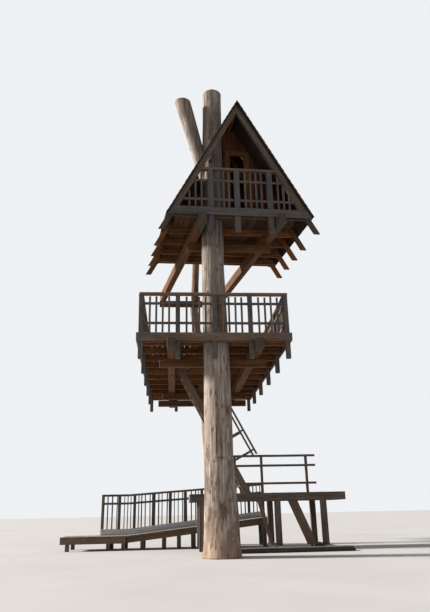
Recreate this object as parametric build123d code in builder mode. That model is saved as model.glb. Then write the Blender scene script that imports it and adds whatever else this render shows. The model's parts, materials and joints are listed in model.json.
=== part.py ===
"""Tree house: two timber platforms on debarked trunks, an A-frame cabin, a low deck and a ramp.

Millimetres. X runs to the right along the front, Y away from the front, Z up.
The origin is the centre of the main trunk's foot, on the ground.
"""
import os
from math import atan2, cos, degrees, inf, radians, sin, tan

from build123d import *

os.makedirs("parts", exist_ok=True)

# Trunks: height, sideways place and radius of each section, from the foot up
trunk_sections = [
    (0, 0, 440),
    (300, 0, 415),
    (850, 0, 400),
    (2100, -35, 345),
    (4900, -45, 325),
    (6900, -90, 305),
    (10300, -45, 285),
    (12600, -15, 275),
]
rear_trunk_sections = [
    (0, 130, 235),
    (2800, 60, 200),
    (4400, -70, 175),
    (7500, -410, 135),
    (9600, -320, 125),
]
rear_trunk_y = 4850
fork_height = 9000
fork_foot_radius = 165
fork_top = 12300
fork_lean = 820
fork_top_radius = 235
trunk_gap = 30

# Boards and beams of the lower platform
lower_top = 5050
lower_width = 3800
lower_depth = 7850
lower_centre_x = -110
lower_front_y = -550
deck_board = 40
fascia_thick = 50
lower_joist_height = 160
joist_width = 60
lower_bearer_width = 200
lower_bearer_height = 260
lower_bearer_nose = 280
lower_bearer_tail = 100
crossbeam_width = 120
crossbeam_height = 200
crossbeam_seat = 60
crossbeam_length = 2700
tail_beam_y = 5900
tail_beam_length = 3040

# Railing of the lower platform
lower_rail_height = 1050
lower_post = 110
lower_post_stub = 430
lower_front_bays = 4
lower_side_bays = 5
lower_sub_rail_low = 240
lower_sub_rail_high = 750
rail_thick = 60
rail_depth = 130
rail_lip = 20
sub_rail_height = 60
sub_rail_thick = 40
baluster_width = 50
baluster_thick = 25
baluster_pitch = 150
baluster_top_gap = 40
baluster_foot_gap = 30

# Hatch in the lower platform and the ladder stair that rises to it from the low deck
hatch_joist = 3
hatch_left_x = -1060
hatch_right_x = 130
header_width = 60
stair_foot_x = 910
stair_head_bearing = 40
stair_width = 580
stringer_thick = 45
stringer_depth = 180
tread_thick = 35
tread_depth = 200
stair_risers = 17
handrail_lift = 1560
handrail_size = 50
handrail_foot = 2430
handrail_top = 5700
handrail_strut_heights = [2560, 3090, 5200]

# Upper platform, a little askew in plan: its front and its sides are turned by different angles
upper_yaw = 2.5
upper_side_yaw = 8.7
upper_top = 8300
upper_ridge_x = 460
upper_front_y = -920
upper_depth = 3200
upper_joist_height = 170
upper_bearer_yaw = 11
upper_bearer_width = 180
upper_bearer_height = 280
upper_bearer_spread = 2020
upper_bearer_centre_x = 620
upper_bearer_nose = 120
upper_bearer_end_y = 4800
upper_crossbeam_length = 2280

# A-frame roof
roof_pitch = 62
apex_height = 11680
roof_board = 30
roof_overhang = 55
rafter_depth = 140
rafter_width = 50
rafter_foot = 7680
middle_rafter_ys = [140, 810, 1480]
ridge_board_width = 50
ridge_board_height = 220
barge_depth = 140
barge_thick = 50
roof_hole_left = -560
roof_hole_right = 300
roof_hole_half_depth = 330

# Balcony railing: its posts are placed sideways from the ridge line
balcony_rail_height = 1220
balcony_post_width = 150
balcony_post_depth = 100
balcony_post_us = [-760, -65, 810]
balcony_post_stub = 430
balcony_sub_rail_low = 250
balcony_sub_rail_high = 820
balcony_baluster_pitch = 150

# Cabin walls and doorway, placed sideways from the ridge line: the front wall meets the trunk's sides
cabin_wall_y = -25
wall_thick = 50
left_wall_end_u = -860
left_wall_shoulder = 9200
left_wall_top_end_u = -960
left_wall_top = 9700
door_wall_left_u = -200
door_width = 400
door_height = 2200
door_offset = 190
door_frame_width = 150
door_frame_thick = 30

# Low deck
low_top = 1400
low_left_x = -660
low_right_x = 3490
low_front_y = 2000
low_rear_y = 3350
low_board = 35
low_beam_height = 165
low_beam_thick = 100
low_joist_count = 8
low_post_xs = [-350, 1650, 2880]
low_post_width = 160
low_rail_post_xs = [680, 1460, 2780]
low_rail_left_x = 640
low_rail_right_x = 3050
low_rail_height = 1090
low_rail_mid = 815
low_rail_low = 320
low_rail_size = 70
brace_thick = 60
low_braces = [(1170, 1470, 100), (2060, 2520, 250)]

# Timbers on the ground under the low deck
sill_left_x = 530
sill_right_x = 3330
sill_front_y = 1000
sill_width = 300
sill_height = 110
sill_chamfer = 60
sleeper_width = 220

# Ramp with its picket fence
ramp_left_x = -4190
ramp_bend_x = -2400
ramp_right_x = 1650
ramp_width = 1000
ramp_low_top = 370
ramp_high_top = 790
ramp_board = 40
ramp_beam_height = 150
ramp_beam_thick = 60
rising_beam_setback = 150
ramp_post_width = 110
ramp_post_xs = [-3985, -2875, -2460, -1950, -1350, -930, -515, 400, 1500]
fence_left_x = -3210
fence_low_top = 1490
fence_high_top = 1735
fence_post_width = 80
fence_post_xs = [-3170, -2690, -2240, -1690, -1190, -740, -240, 260, 760, 1180, 1610]
fence_rail_height = 60
fence_rail_thick = 35
fence_rail_drop = 230
picket_width = 35
picket_thick = 20
picket_pitch = 115
kick_board_height = 160
kick_board_thick = 30

# Values that follow from the sizes above
lower_left_x = lower_centre_x - lower_width / 2
lower_right_x = lower_centre_x + lower_width / 2
lower_rear_y = lower_front_y + lower_depth
lower_joist_top = lower_top - deck_board
lower_bearer_top = lower_joist_top - lower_joist_height
lower_cross_top = lower_bearer_top - lower_bearer_height
post_inset = fascia_thick + lower_post / 2
front_pitch = (lower_width - 2 * post_inset) / lower_front_bays
side_pitch = (lower_depth - 2 * post_inset) / lower_side_bays
lower_post_xs = [lower_left_x + post_inset + i * front_pitch for i in range(lower_front_bays + 1)]
lower_post_ys = [lower_front_y + post_inset + i * side_pitch for i in range(lower_side_bays + 1)]
lower_bearer_spread = 2 * front_pitch + lower_post + lower_bearer_width
mid_joist_ys = [lower_post_ys[0] + (i + 0.5) * side_pitch / 2 for i in range(2 * lower_side_bays)]
edge_joist_inset = post_inset + (lower_post + joist_width) / 2
lower_joist_ys = [
    lower_front_y + edge_joist_inset,
    *mid_joist_ys,
    lower_rear_y - edge_joist_inset,
]
hatch_front_y = mid_joist_ys[hatch_joist] + joist_width / 2
hatch_rear_y = mid_joist_ys[hatch_joist + 1] - joist_width / 2
slope = radians(roof_pitch)
askew = radians(upper_side_yaw - upper_yaw)
side_line = (-sin(radians(upper_side_yaw)), cos(radians(upper_side_yaw)), 0)
bearer_turn = radians(upper_bearer_yaw)
upper_rear_y = upper_front_y + upper_depth
upper_joist_top = upper_top - deck_board
upper_bearer_top = upper_joist_top - upper_joist_height
upper_cross_top = upper_bearer_top - upper_bearer_height
roof_front_y = upper_front_y - roof_overhang
roof_rear_y = upper_rear_y + roof_overhang
barge_front_y = upper_front_y + fascia_thick
barge_rear_y = upper_rear_y - barge_thick
back_wall_y = barge_rear_y - wall_thick
rafter_ys = [barge_front_y + barge_thick, *middle_rafter_ys, back_wall_y - rafter_width]
upper_joist_ys = [y + rafter_width for y in rafter_ys[:-1]] + [rafter_ys[-1] - joist_width]
barge_inside = roof_board + barge_depth
rafter_inside = roof_board + rafter_depth
ridge_half = ridge_board_width / 2
ridge_top = apex_height - ridge_half * tan(slope) - roof_board / cos(slope)
door_left_u = door_offset - door_width / 2
door_right_u = door_offset + door_width / 2
door_top = upper_top + door_height


def trunk_at(sections, z):
    """Sideways place and radius of a trunk at a height."""
    for (z0, x0, r0), (z1, x1, r1) in zip(sections, sections[1:]):
        if z <= z1:
            t = (z - z0) / (z1 - z0)
            return x0 + t * (x1 - x0), r0 + t * (r1 - r0)
    return sections[-1][1:]


def slope_u(depth, z):
    """Distance from the ridge line to a plane that lies a depth inside the roof's outer face."""
    return (apex_height - z) / tan(slope) - depth / sin(slope)


def slope_z(depth, u):
    """Height at which that same plane stands a distance from the ridge line."""
    return apex_height - u * tan(slope) - depth / cos(slope)


def ridge_x(y):
    """Sideways place of the ridge line at a depth of the upper platform."""
    return upper_ridge_x - y * tan(askew)


def gable(y):
    """Upright plane across the A-frame: x from the ridge line, y up, extruded along the side line."""
    origin = upper.from_local_coords((ridge_x(y), y, 0))
    return Plane(origin, x_dir=upper.x_dir, z_dir=-upper.y_dir)


def back(depth):
    """Length along the side line that reaches a depth behind the front."""
    return depth / cos(askew)


def block(x0, x1, y0, y1, z0, z1, mode=Mode.ADD):
    """A box between two corners, in the part's own workplane."""
    with Locations(((x0 + x1) / 2, (y0 + y1) / 2, (z0 + z1) / 2)):
        Box(x1 - x0, y1 - y0, z1 - z0, mode=mode)


def trunk_hole(sections, y, z0, z1, frame=Plane.XY):
    """Round hole for a trunk through boards that lie between two heights."""
    x, radius = trunk_at(sections, z0)
    with Locations(frame.to_local_coords(Vector(x, y, (z0 + z1) / 2))):
        Cylinder(radius + trunk_gap, z1 - z0, mode=Mode.SUBTRACT)


def trunk_room(sections, y, z0, z1):
    """Square gap for a trunk through joists."""
    x, radius = trunk_at(sections, z0)
    reach = radius + trunk_gap
    block(x - reach, x + reach, y - reach, y + reach, z0, z1, mode=Mode.SUBTRACT)


def roof_strip(side, near, far, foot, head_u=0):
    """Band of one roof slope between two depths, cut level at its foot and plumb at its head."""
    head = [(side * head_u, slope_z(depth, head_u)) for depth in (far, near)]
    Polygon((side * slope_u(near, foot), foot), (side * slope_u(far, foot), foot), *head, align=None)


def band_side(depth, low, high, limit):
    """Right side of a band from its foot up: upright at the limit, then along the slope."""
    bend = slope_z(depth, limit)
    heights = (low, bend, high) if low < bend < high else (low, high)
    return [(min(limit, slope_u(depth, z)), z) for z in heights]


def gable_band(depth, low, high, left=-inf, right=inf, mode=Mode.ADD):
    """Level band across the A-frame between two heights, stopped by the slopes and by given sides."""
    right_side = band_side(depth, low, high, right)
    left_side = [(-u, z) for u, z in band_side(depth, low, high, -left)]
    Polygon(*right_side, *reversed(left_side), align=None, mode=mode)


def bay_centres(left, right, pitch):
    """Evenly spaced places for the upright bars of one bay."""
    count = max(1, round((right - left) / pitch) - 1)
    return [left + (i + 1) * (right - left) / (count + 1) for i in range(count)]


def railing(post_xs, post_width, post_depth, floor, stub_foot, height, sub_rails, pitch, end_posts=True):
    """Posts, top rail, two sub-rails and balusters along the part's workplane."""
    top = floor + height
    ends = post_xs if end_posts else post_xs[1:-1]
    reach = post_width / 2 if end_posts else -post_width / 2
    left, right = post_xs[0] - reach, post_xs[-1] + reach
    for x in ends:
        block(x - post_width / 2, x + post_width / 2, 0, post_depth, stub_foot, top - rail_thick)
    block(left, right, -rail_lip, rail_depth - rail_lip, top - rail_thick, top)
    rail_back = (post_depth + sub_rail_thick + baluster_thick) / 2
    rail_front = rail_back - sub_rail_thick
    for z in sub_rails:
        block(left, right, rail_front, rail_back, floor + z, floor + z + sub_rail_height)
    centres = []
    for x0, x1 in zip(post_xs, post_xs[1:]):
        centres += bay_centres(x0 + post_width / 2, x1 - post_width / 2, pitch)
    foot = floor + baluster_foot_gap
    head = top - rail_thick - baluster_top_gap
    with Locations(*[(x, rail_front - baluster_thick / 2, (foot + head) / 2) for x in centres]):
        Box(baluster_width, baluster_thick, head - foot)


def finish(builder, name):
    """Label a finished piece and write it."""
    builder.part.label = name
    export_step(builder.part, f"parts/{name}.step")


# The upper platform's own frame
upper = Plane((0, 0, 0), x_dir=(cos(radians(upper_yaw)), sin(radians(upper_yaw)), 0))


# Crossbeams: one behind the main trunk and one before the rear trunk, each housed into its trunk
def crossbeam_ys(cross_top):
    """Front face of each of the two crossbeams under a platform."""
    z = cross_top - crossbeam_height
    main = trunk_at(trunk_sections, z)[1] - crossbeam_seat
    rear = rear_trunk_y - trunk_at(rear_trunk_sections, z)[1] + crossbeam_seat - crossbeam_width
    return main, rear


def bearers_x(y):
    """Sideways place of the middle between the two upper bearers."""
    return upper_bearer_centre_x - (y - upper_front_y) * tan(bearer_turn)


def crossbeam(centre_x, y, cross_top, length):
    """One crossbeam."""
    block(
        centre_x - length / 2, centre_x + length / 2,
        y, y + crossbeam_width, cross_top - crossbeam_height, cross_top,
    )


def housing(y0, y1, cross_top):
    """Flat seat for a crossbeam in a trunk."""
    half = crossbeam_length / 2
    block(-half, half, y0, y1, cross_top - crossbeam_height, cross_top, mode=Mode.SUBTRACT)


lower_cross_main_y, lower_cross_rear_y = crossbeam_ys(lower_cross_top)
upper_cross_main_y, upper_cross_rear_y = crossbeam_ys(upper_cross_top)
housing_reach = 2 * crossbeam_width

# Main trunk with its fork
with BuildPart() as main_trunk:
    for lower_section, higher_section in zip(trunk_sections, trunk_sections[1:]):
        for z, x, radius in (lower_section, higher_section):
            with BuildSketch(Plane.XY.offset(z)):
                with Locations((x, 0)):
                    Circle(radius)
        loft(ruled=True)
    fork_x = trunk_at(trunk_sections, fork_height)[0]
    with BuildSketch(Plane.XY.offset(fork_height)):
        with Locations((fork_x, 0)):
            Circle(fork_foot_radius)
    with BuildSketch(Plane.XY.offset(fork_top)):
        with Locations((fork_x - fork_lean, 0)):
            Circle(fork_top_radius)
    loft(ruled=True)
    housing(lower_cross_main_y, lower_cross_main_y + housing_reach, lower_cross_top)
    housing(upper_cross_main_y, upper_cross_main_y + housing_reach, upper_cross_top)
finish(main_trunk, "main_trunk")

# Rear trunk
with BuildPart() as rear_trunk:
    for lower_section, higher_section in zip(rear_trunk_sections, rear_trunk_sections[1:]):
        for z, x, radius in (lower_section, higher_section):
            with BuildSketch(Plane.XY.offset(z)):
                with Locations((x, rear_trunk_y)):
                    Circle(radius)
        loft(ruled=True)
    for y, top in ((lower_cross_rear_y, lower_cross_top), (upper_cross_rear_y, upper_cross_top)):
        housing(y + crossbeam_width - housing_reach, y + crossbeam_width, top)
finish(rear_trunk, "rear_trunk")

# Lower platform
with BuildPart() as lower_bearers:
    for side in (-1, 1):
        x = lower_centre_x + side * lower_bearer_spread / 2
        block(
            x - lower_bearer_width / 2, x + lower_bearer_width / 2,
            lower_front_y - lower_bearer_nose, lower_rear_y + lower_bearer_tail,
            lower_cross_top, lower_bearer_top,
        )
finish(lower_bearers, "lower_bearers")

with BuildPart() as lower_crossbeams:
    crossbeam(lower_centre_x, lower_cross_main_y, lower_cross_top, crossbeam_length)
    crossbeam(lower_centre_x, lower_cross_rear_y, lower_cross_top, crossbeam_length)
    crossbeam(lower_centre_x, tail_beam_y, lower_cross_top, tail_beam_length)
finish(lower_crossbeams, "lower_crossbeams")

with BuildPart() as lower_joists:
    for y in lower_joist_ys:
        block(
            lower_left_x + fascia_thick, lower_right_x - fascia_thick,
            y - joist_width / 2, y + joist_width / 2,
            lower_bearer_top, lower_joist_top,
        )
    trunk_room(trunk_sections, 0, lower_bearer_top, lower_joist_top)
    trunk_room(rear_trunk_sections, rear_trunk_y, lower_bearer_top, lower_joist_top)
finish(lower_joists, "lower_joists")

with BuildPart() as hatch_headers:
    for x in (hatch_left_x - header_width, hatch_right_x):
        block(x, x + header_width, hatch_front_y, hatch_rear_y, lower_bearer_top, lower_joist_top)
finish(hatch_headers, "hatch_headers")

lower_posts = [(x, y) for x in lower_post_xs for y in (lower_post_ys[0], lower_post_ys[-1])]
lower_posts += [(x, y) for x in (lower_post_xs[0], lower_post_xs[-1]) for y in lower_post_ys[1:-1]]
with BuildPart() as lower_decking:
    block(
        lower_left_x + fascia_thick, lower_right_x - fascia_thick,
        lower_front_y + fascia_thick, lower_rear_y - fascia_thick,
        lower_joist_top, lower_top,
    )
    block(
        hatch_left_x, hatch_right_x, hatch_front_y, hatch_rear_y,
        lower_joist_top, lower_top, mode=Mode.SUBTRACT,
    )
    with Locations(*[(x, y, lower_top - deck_board / 2) for x, y in lower_posts]):
        Box(lower_post, lower_post, deck_board, mode=Mode.SUBTRACT)
    trunk_hole(trunk_sections, 0, lower_joist_top, lower_top)
    trunk_hole(rear_trunk_sections, rear_trunk_y, lower_joist_top, lower_top)
finish(lower_decking, "lower_decking")

with BuildPart() as lower_fascia_front:
    block(
        lower_left_x, lower_right_x, lower_front_y, lower_front_y + fascia_thick,
        lower_bearer_top, lower_top,
    )
finish(lower_fascia_front, "lower_fascia_front")

with BuildPart() as lower_fascia_back:
    block(
        lower_left_x, lower_right_x, lower_rear_y - fascia_thick, lower_rear_y,
        lower_bearer_top, lower_top,
    )
finish(lower_fascia_back, "lower_fascia_back")

with BuildPart() as lower_fascia_sides:
    for x in (lower_left_x, lower_right_x - fascia_thick):
        block(
            x, x + fascia_thick, lower_front_y + fascia_thick, lower_rear_y - fascia_thick,
            lower_bearer_top, lower_top,
        )
finish(lower_fascia_sides, "lower_fascia_sides")

# Railing of the lower platform: front and back own the corner posts
lower_stub_foot = lower_bearer_top - lower_post_stub
lower_sub_rails = (lower_sub_rail_low, lower_sub_rail_high)
front_xs = lower_post_xs
back_xs = [-x for x in reversed(lower_post_xs)]
right_xs = lower_post_ys
left_xs = [-y for y in reversed(lower_post_ys)]
lower_rail_runs = [
    ("lower_railing_front", Plane((0, lower_front_y + fascia_thick, 0), x_dir=(1, 0, 0)), front_xs, True),
    ("lower_railing_back", Plane((0, lower_rear_y - fascia_thick, 0), x_dir=(-1, 0, 0)), back_xs, True),
    ("lower_railing_right", Plane((lower_right_x - fascia_thick, 0, 0), x_dir=(0, 1, 0)), right_xs, False),
    ("lower_railing_left", Plane((lower_left_x + fascia_thick, 0, 0), x_dir=(0, -1, 0)), left_xs, False),
]
for name, plane, xs, corners in lower_rail_runs:
    with BuildPart(plane) as lower_railing:
        railing(
            xs, lower_post, lower_post, lower_top, lower_stub_foot, lower_rail_height,
            lower_sub_rails, baluster_pitch, end_posts=corners,
        )
    finish(lower_railing, name)

# Ladder stair, seen from the side: x along the front, y up
stair_head_x = hatch_left_x + stair_head_bearing
stair_run = stair_foot_x - stair_head_x
stair_rise = lower_top - low_top
stair_steepness = stair_rise / stair_run
stair_mid_y = (hatch_front_y + hatch_rear_y) / 2
stair_angle = atan2(stair_rise, stair_run)


def stair_x(z):
    """Middle of the stringers at a height."""
    return stair_foot_x - (z - low_top) / stair_steepness


def side_view(y):
    """Upright plane along the front, extruded backwards with a negative amount."""
    return Plane((0, y, 0), x_dir=(1, 0, 0), z_dir=(0, -1, 0))


with BuildPart() as stair_stringers:
    half = stringer_depth / sin(stair_angle) / 2
    plumb_foot = low_top + (stair_foot_x - half - hatch_left_x) * stair_steepness
    for y in (stair_mid_y - stair_width / 2, stair_mid_y + stair_width / 2 - stringer_thick):
        with BuildSketch(side_view(y)):
            Polygon(
                (stair_foot_x - half, low_top),
                (stair_foot_x + half, low_top),
                (stair_head_x + half, lower_top),
                (hatch_left_x, lower_top),
                (hatch_left_x, plumb_foot),
                align=None,
            )
        extrude(amount=-stringer_thick)
finish(stair_stringers, "stair_stringers")

with BuildPart() as stair_treads:
    inner_half = stair_width / 2 - stringer_thick
    for i in range(1, stair_risers):
        z = low_top + i * stair_rise / stair_risers
        x = stair_x(z)
        block(
            x - tread_depth / 2, x + tread_depth / 2,
            stair_mid_y - inner_half, stair_mid_y + inner_half, z - tread_thick, z,
        )
finish(stair_treads, "stair_treads")

# Handrails beside the stair, held by struts that stand square to the stringers
with BuildPart() as stair_handrails:
    half = handrail_size / sin(stair_angle) / 2
    foot_x = stair_x(handrail_foot - handrail_lift)
    top_x = stair_x(handrail_top - handrail_lift)
    strut_length = handrail_lift * cos(stair_angle) + stringer_depth / 2
    for y in (stair_mid_y - stair_width / 2 - handrail_size, stair_mid_y + stair_width / 2):
        with BuildSketch(side_view(y)):
            Polygon(
                (foot_x - half, handrail_foot), (foot_x + half, handrail_foot),
                (top_x + half, handrail_top), (top_x - half, handrail_top), align=None,
            )
            for z in handrail_strut_heights:
                middle_x = stair_x(z - handrail_lift) - strut_length / 2 * sin(stair_angle)
                middle_z = z - strut_length / 2 * cos(stair_angle)
                with Locations((middle_x, middle_z)):
                    Rectangle(strut_length, handrail_size, rotation=90 - degrees(stair_angle))
        extrude(amount=-handrail_size)
finish(stair_handrails, "stair_handrails")

# Upper platform
with BuildPart() as upper_bearers:
    half = upper_bearer_width / cos(bearer_turn) / 2
    nose_y = upper_front_y - upper_bearer_nose
    for side in (-1, 1):
        nose_x, end_x = [bearers_x(y) + side * upper_bearer_spread / 2 for y in (nose_y, upper_bearer_end_y)]
        with BuildSketch(Plane.XY.offset(upper_cross_top)):
            Polygon(
                (nose_x - half, nose_y), (nose_x + half, nose_y),
                (end_x + half, upper_bearer_end_y), (end_x - half, upper_bearer_end_y), align=None,
            )
        extrude(amount=upper_bearer_height)
finish(upper_bearers, "upper_bearers")

with BuildPart() as upper_crossbeams:
    for y in (upper_cross_main_y, upper_cross_rear_y):
        crossbeam(bearers_x(y), y, upper_cross_top, upper_crossbeam_length)
finish(upper_crossbeams, "upper_crossbeams")

with BuildPart() as upper_joists:
    for y in upper_joist_ys:
        with BuildSketch(gable(y)):
            gable_band(roof_board, upper_bearer_top, upper_joist_top)
        extrude(amount=back(joist_width), dir=side_line)
    trunk_room(trunk_sections, 0, upper_bearer_top, upper_joist_top)
finish(upper_joists, "upper_joists")

with BuildPart(upper) as upper_decking:
    with BuildSketch(gable(rafter_ys[0])):
        gable_band(rafter_inside, upper_joist_top, upper_top)
    extrude(amount=back(back_wall_y - rafter_ys[0]), dir=side_line)
    with BuildSketch(gable(barge_front_y)):
        gable_band(barge_inside, upper_joist_top, upper_top)
    extrude(amount=back(barge_thick), dir=side_line)
    for u in balcony_post_us:
        x = ridge_x(barge_front_y) + u
        block(
            x - balcony_post_width / 2, x + balcony_post_width / 2,
            barge_front_y, barge_front_y + balcony_post_depth,
            upper_joist_top, upper_top, mode=Mode.SUBTRACT,
        )
    trunk_hole(trunk_sections, 0, upper_joist_top, upper_top, frame=upper)
finish(upper_decking, "upper_decking")

for name, y, thick in (
    ("upper_fascia_front", upper_front_y, fascia_thick),
    ("upper_fascia_back", back_wall_y, wall_thick),
):
    with BuildPart() as upper_fascia:
        with BuildSketch(gable(y)):
            gable_band(roof_board, upper_bearer_top, upper_top)
        extrude(amount=back(thick), dir=side_line)
    finish(upper_fascia, name)


# A-frame: rafters, ridge board, roof slopes and bargeboards
def roof_hole():
    """Gap in the left slope through which the trunk and its fork rise."""
    block(
        roof_hole_left, roof_hole_right, -roof_hole_half_depth, roof_hole_half_depth,
        fork_height, apex_height, mode=Mode.SUBTRACT,
    )


for name, side in (("rafters_left", -1), ("rafters_right", 1)):
    with BuildPart(upper) as rafters:
        for y in rafter_ys:
            with BuildSketch(gable(y)):
                roof_strip(side, roof_board, rafter_inside, rafter_foot, head_u=ridge_half)
            extrude(amount=back(rafter_width), dir=side_line)
        roof_hole()
    finish(rafters, name)

with BuildPart() as ridge_board:
    with BuildSketch(gable(rafter_ys[0])):
        gable_band(roof_board, ridge_top - ridge_board_height, ridge_top, left=-ridge_half, right=ridge_half)
    extrude(amount=back(back_wall_y - rafter_ys[0]), dir=side_line)
finish(ridge_board, "ridge_board")

for name, side in (("roof_left", -1), ("roof_right", 1)):
    with BuildPart(upper) as roof:
        with BuildSketch(gable(roof_front_y)):
            roof_strip(side, 0, roof_board, upper_bearer_top)
        extrude(amount=back(roof_rear_y - roof_front_y), dir=side_line)
        roof_hole()
    finish(roof, name)

for end, y in (("front", barge_front_y), ("back", barge_rear_y)):
    for name, side in (("left", -1), ("right", 1)):
        with BuildPart() as bargeboard:
            with BuildSketch(gable(y)):
                roof_strip(side, roof_board, barge_inside, upper_bearer_top)
            extrude(amount=back(barge_thick), dir=side_line)
        finish(bargeboard, f"bargeboard_{end}_{name}")

# Cabin walls: the front wall is split by the trunk and by its doorway
wall_head = ridge_top - ridge_board_height
front_wall_bands = {
    "cabin_wall_left": [
        (upper_top, left_wall_shoulder, -inf, left_wall_end_u),
        (left_wall_shoulder, left_wall_top, -inf, left_wall_top_end_u),
    ],
    "cabin_wall_right": [(upper_top, door_top, door_right_u, inf)],
    "cabin_wall_over_door": [
        (upper_top, door_top, door_wall_left_u, door_left_u),
        (door_top, wall_head, door_wall_left_u, inf),
    ],
}
for name, bands in front_wall_bands.items():
    with BuildPart() as front_wall:
        with BuildSketch(gable(cabin_wall_y)):
            for low, high, left, right in bands:
                gable_band(roof_board, low, high, left=left, right=right)
        extrude(amount=back(wall_thick), dir=side_line)
    finish(front_wall, name)

with BuildPart() as door_frame:
    with BuildSketch(gable(cabin_wall_y - door_frame_thick)):
        gable_band(
            roof_board, upper_top, door_top + door_frame_width,
            left=door_left_u - door_frame_width, right=door_right_u + door_frame_width,
        )
        gable_band(
            roof_board, upper_top, door_top,
            left=door_left_u, right=door_right_u, mode=Mode.SUBTRACT,
        )
    extrude(amount=back(door_frame_thick), dir=side_line)
finish(door_frame, "door_frame")

with BuildPart() as cabin_back_wall:
    with BuildSketch(gable(back_wall_y)):
        gable_band(roof_board, upper_top, ridge_top)
    extrude(amount=back(wall_thick), dir=side_line)
finish(cabin_back_wall, "cabin_back_wall")

# Balcony railing between the front bargeboards
balcony_base = Plane(upper.from_local_coords((ridge_x(barge_front_y), barge_front_y, 0)), x_dir=upper.x_dir)
balcony_top = upper_top + balcony_rail_height
balcony_rails = [
    (0, rail_depth, balcony_top - rail_thick, balcony_top),
    *[
        (balcony_post_depth / 2, sub_rail_thick, upper_top + z, upper_top + z + sub_rail_height)
        for z in (balcony_sub_rail_low, balcony_sub_rail_high)
    ],
]
with BuildPart(balcony_base) as balcony_railing:
    for u in balcony_post_us:
        block(
            u - balcony_post_width / 2, u + balcony_post_width / 2, 0, balcony_post_depth,
            upper_bearer_top - balcony_post_stub, balcony_top - rail_thick,
        )
    for setback, thick, low, high in balcony_rails:
        with BuildSketch(gable(barge_front_y + setback)):
            gable_band(barge_inside, low, high)
        extrude(amount=back(thick), dir=side_line)
    outer = slope_u(barge_inside, upper_top + balcony_sub_rail_low)
    left_sides = [-outer, *[u + balcony_post_width / 2 for u in balcony_post_us]]
    right_sides = [*[u - balcony_post_width / 2 for u in balcony_post_us], outer]
    with BuildSketch(gable(barge_front_y + balcony_post_depth / 2 - baluster_thick)):
        for left, right in zip(left_sides, right_sides):
            for u in bay_centres(left, right, balcony_baluster_pitch):
                under_slope = slope_z(barge_inside, abs(u) + baluster_width / 2)
                gable_band(
                    barge_inside, upper_top + baluster_foot_gap,
                    min(balcony_top - rail_thick - baluster_top_gap, under_slope),
                    left=u - baluster_width / 2, right=u + baluster_width / 2,
                )
    extrude(amount=back(baluster_thick), dir=side_line)
finish(balcony_railing, "balcony_railing")

# Low deck
low_beam_top = low_top - low_board
low_beam_foot = low_beam_top - low_beam_height
low_beam_ys = (low_front_y, low_rear_y - low_beam_thick)
with BuildPart() as low_deck_beams:
    for y in low_beam_ys:
        block(low_left_x, low_right_x, y, y + low_beam_thick, low_beam_foot, low_beam_top)
finish(low_deck_beams, "low_deck_beams")

with BuildPart() as low_deck_joists:
    pitch = (low_right_x - low_left_x - joist_width) / (low_joist_count - 1)
    for i in range(low_joist_count):
        x = low_left_x + i * pitch
        block(
            x, x + joist_width, low_front_y + low_beam_thick, low_rear_y - low_beam_thick,
            low_beam_foot, low_beam_top,
        )
finish(low_deck_joists, "low_deck_joists")

with BuildPart() as low_deck_boards:
    block(low_left_x, low_right_x, low_front_y, low_rear_y, low_beam_top, low_top)
finish(low_deck_boards, "low_deck_boards")

with BuildPart() as low_deck_posts:
    for x in low_post_xs:
        foot = sill_height if x > sill_left_x else 0
        for y in low_beam_ys:
            block(
                x - low_post_width / 2, x + low_post_width / 2,
                y, y + low_beam_thick, foot, low_beam_foot,
            )
finish(low_deck_posts, "low_deck_posts")

with BuildPart() as low_deck_braces:
    for head_x, foot_x, width in low_braces:
        with BuildSketch(side_view(low_front_y + (low_beam_thick - brace_thick) / 2)):
            Polygon(
                (foot_x - width / 2, sill_height), (foot_x + width / 2, sill_height),
                (head_x + width / 2, low_beam_foot), (head_x - width / 2, low_beam_foot), align=None,
            )
        extrude(amount=-brace_thick)
finish(low_deck_braces, "low_deck_braces")

with BuildPart() as low_deck_railing:
    y = low_rear_y - low_rail_size
    for x in low_rail_post_xs:
        block(x - low_rail_size / 2, x + low_rail_size / 2, y, low_rear_y, low_top, low_top + low_rail_height)
    for z in (low_rail_low, low_rail_mid, low_rail_height):
        block(
            low_rail_left_x, low_rail_right_x, y, y + low_rail_size,
            low_top + z - sub_rail_height, low_top + z,
        )
finish(low_deck_railing, "low_deck_railing")

# Timbers on the ground
with BuildPart() as front_sill:
    block(sill_left_x, sill_right_x, sill_front_y, sill_front_y + sill_width, 0, sill_height)
    right_end = front_sill.edges().filter_by(Axis.Y).group_by(Axis.X)[-1].sort_by(Axis.Z)[-1]
    chamfer(right_end, length=sill_chamfer)
finish(front_sill, "front_sill")

with BuildPart() as sleepers:
    for x in low_post_xs:
        if x > sill_left_x:
            block(
                x - sleeper_width / 2, x + sleeper_width / 2,
                sill_front_y + sill_width, low_rear_y, 0, sill_height,
            )
finish(sleepers, "sleepers")

# Ramp: a level stretch, then a rise to the right, with its near beam against the low deck's rear posts
ramp_front_y = low_rear_y
ramp_rear_y = ramp_front_y + ramp_width
ramp_steepness = (ramp_high_top - ramp_low_top) / (ramp_right_x - ramp_bend_x)
rising_beam_y = ramp_front_y + rising_beam_setback
far_beam_y = ramp_rear_y - ramp_beam_thick


def ramp_top(x):
    """Height of the ramp's walking surface."""
    return ramp_low_top + max(0, x - ramp_bend_x) * ramp_steepness


def ramp_strip(xs, down, depth):
    """Side view of a band that follows the ramp from place to place, a distance below its surface."""
    tops = [(x, ramp_top(x) - down) for x in xs]
    Polygon(*tops, *[(x, z - depth) for x, z in reversed(tops)], align=None)


with BuildPart() as ramp_boards:
    with BuildSketch(side_view(ramp_front_y)):
        ramp_strip((ramp_left_x, ramp_bend_x, ramp_right_x), 0, ramp_board)
    extrude(amount=-ramp_width)
finish(ramp_boards, "ramp_boards")

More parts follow.
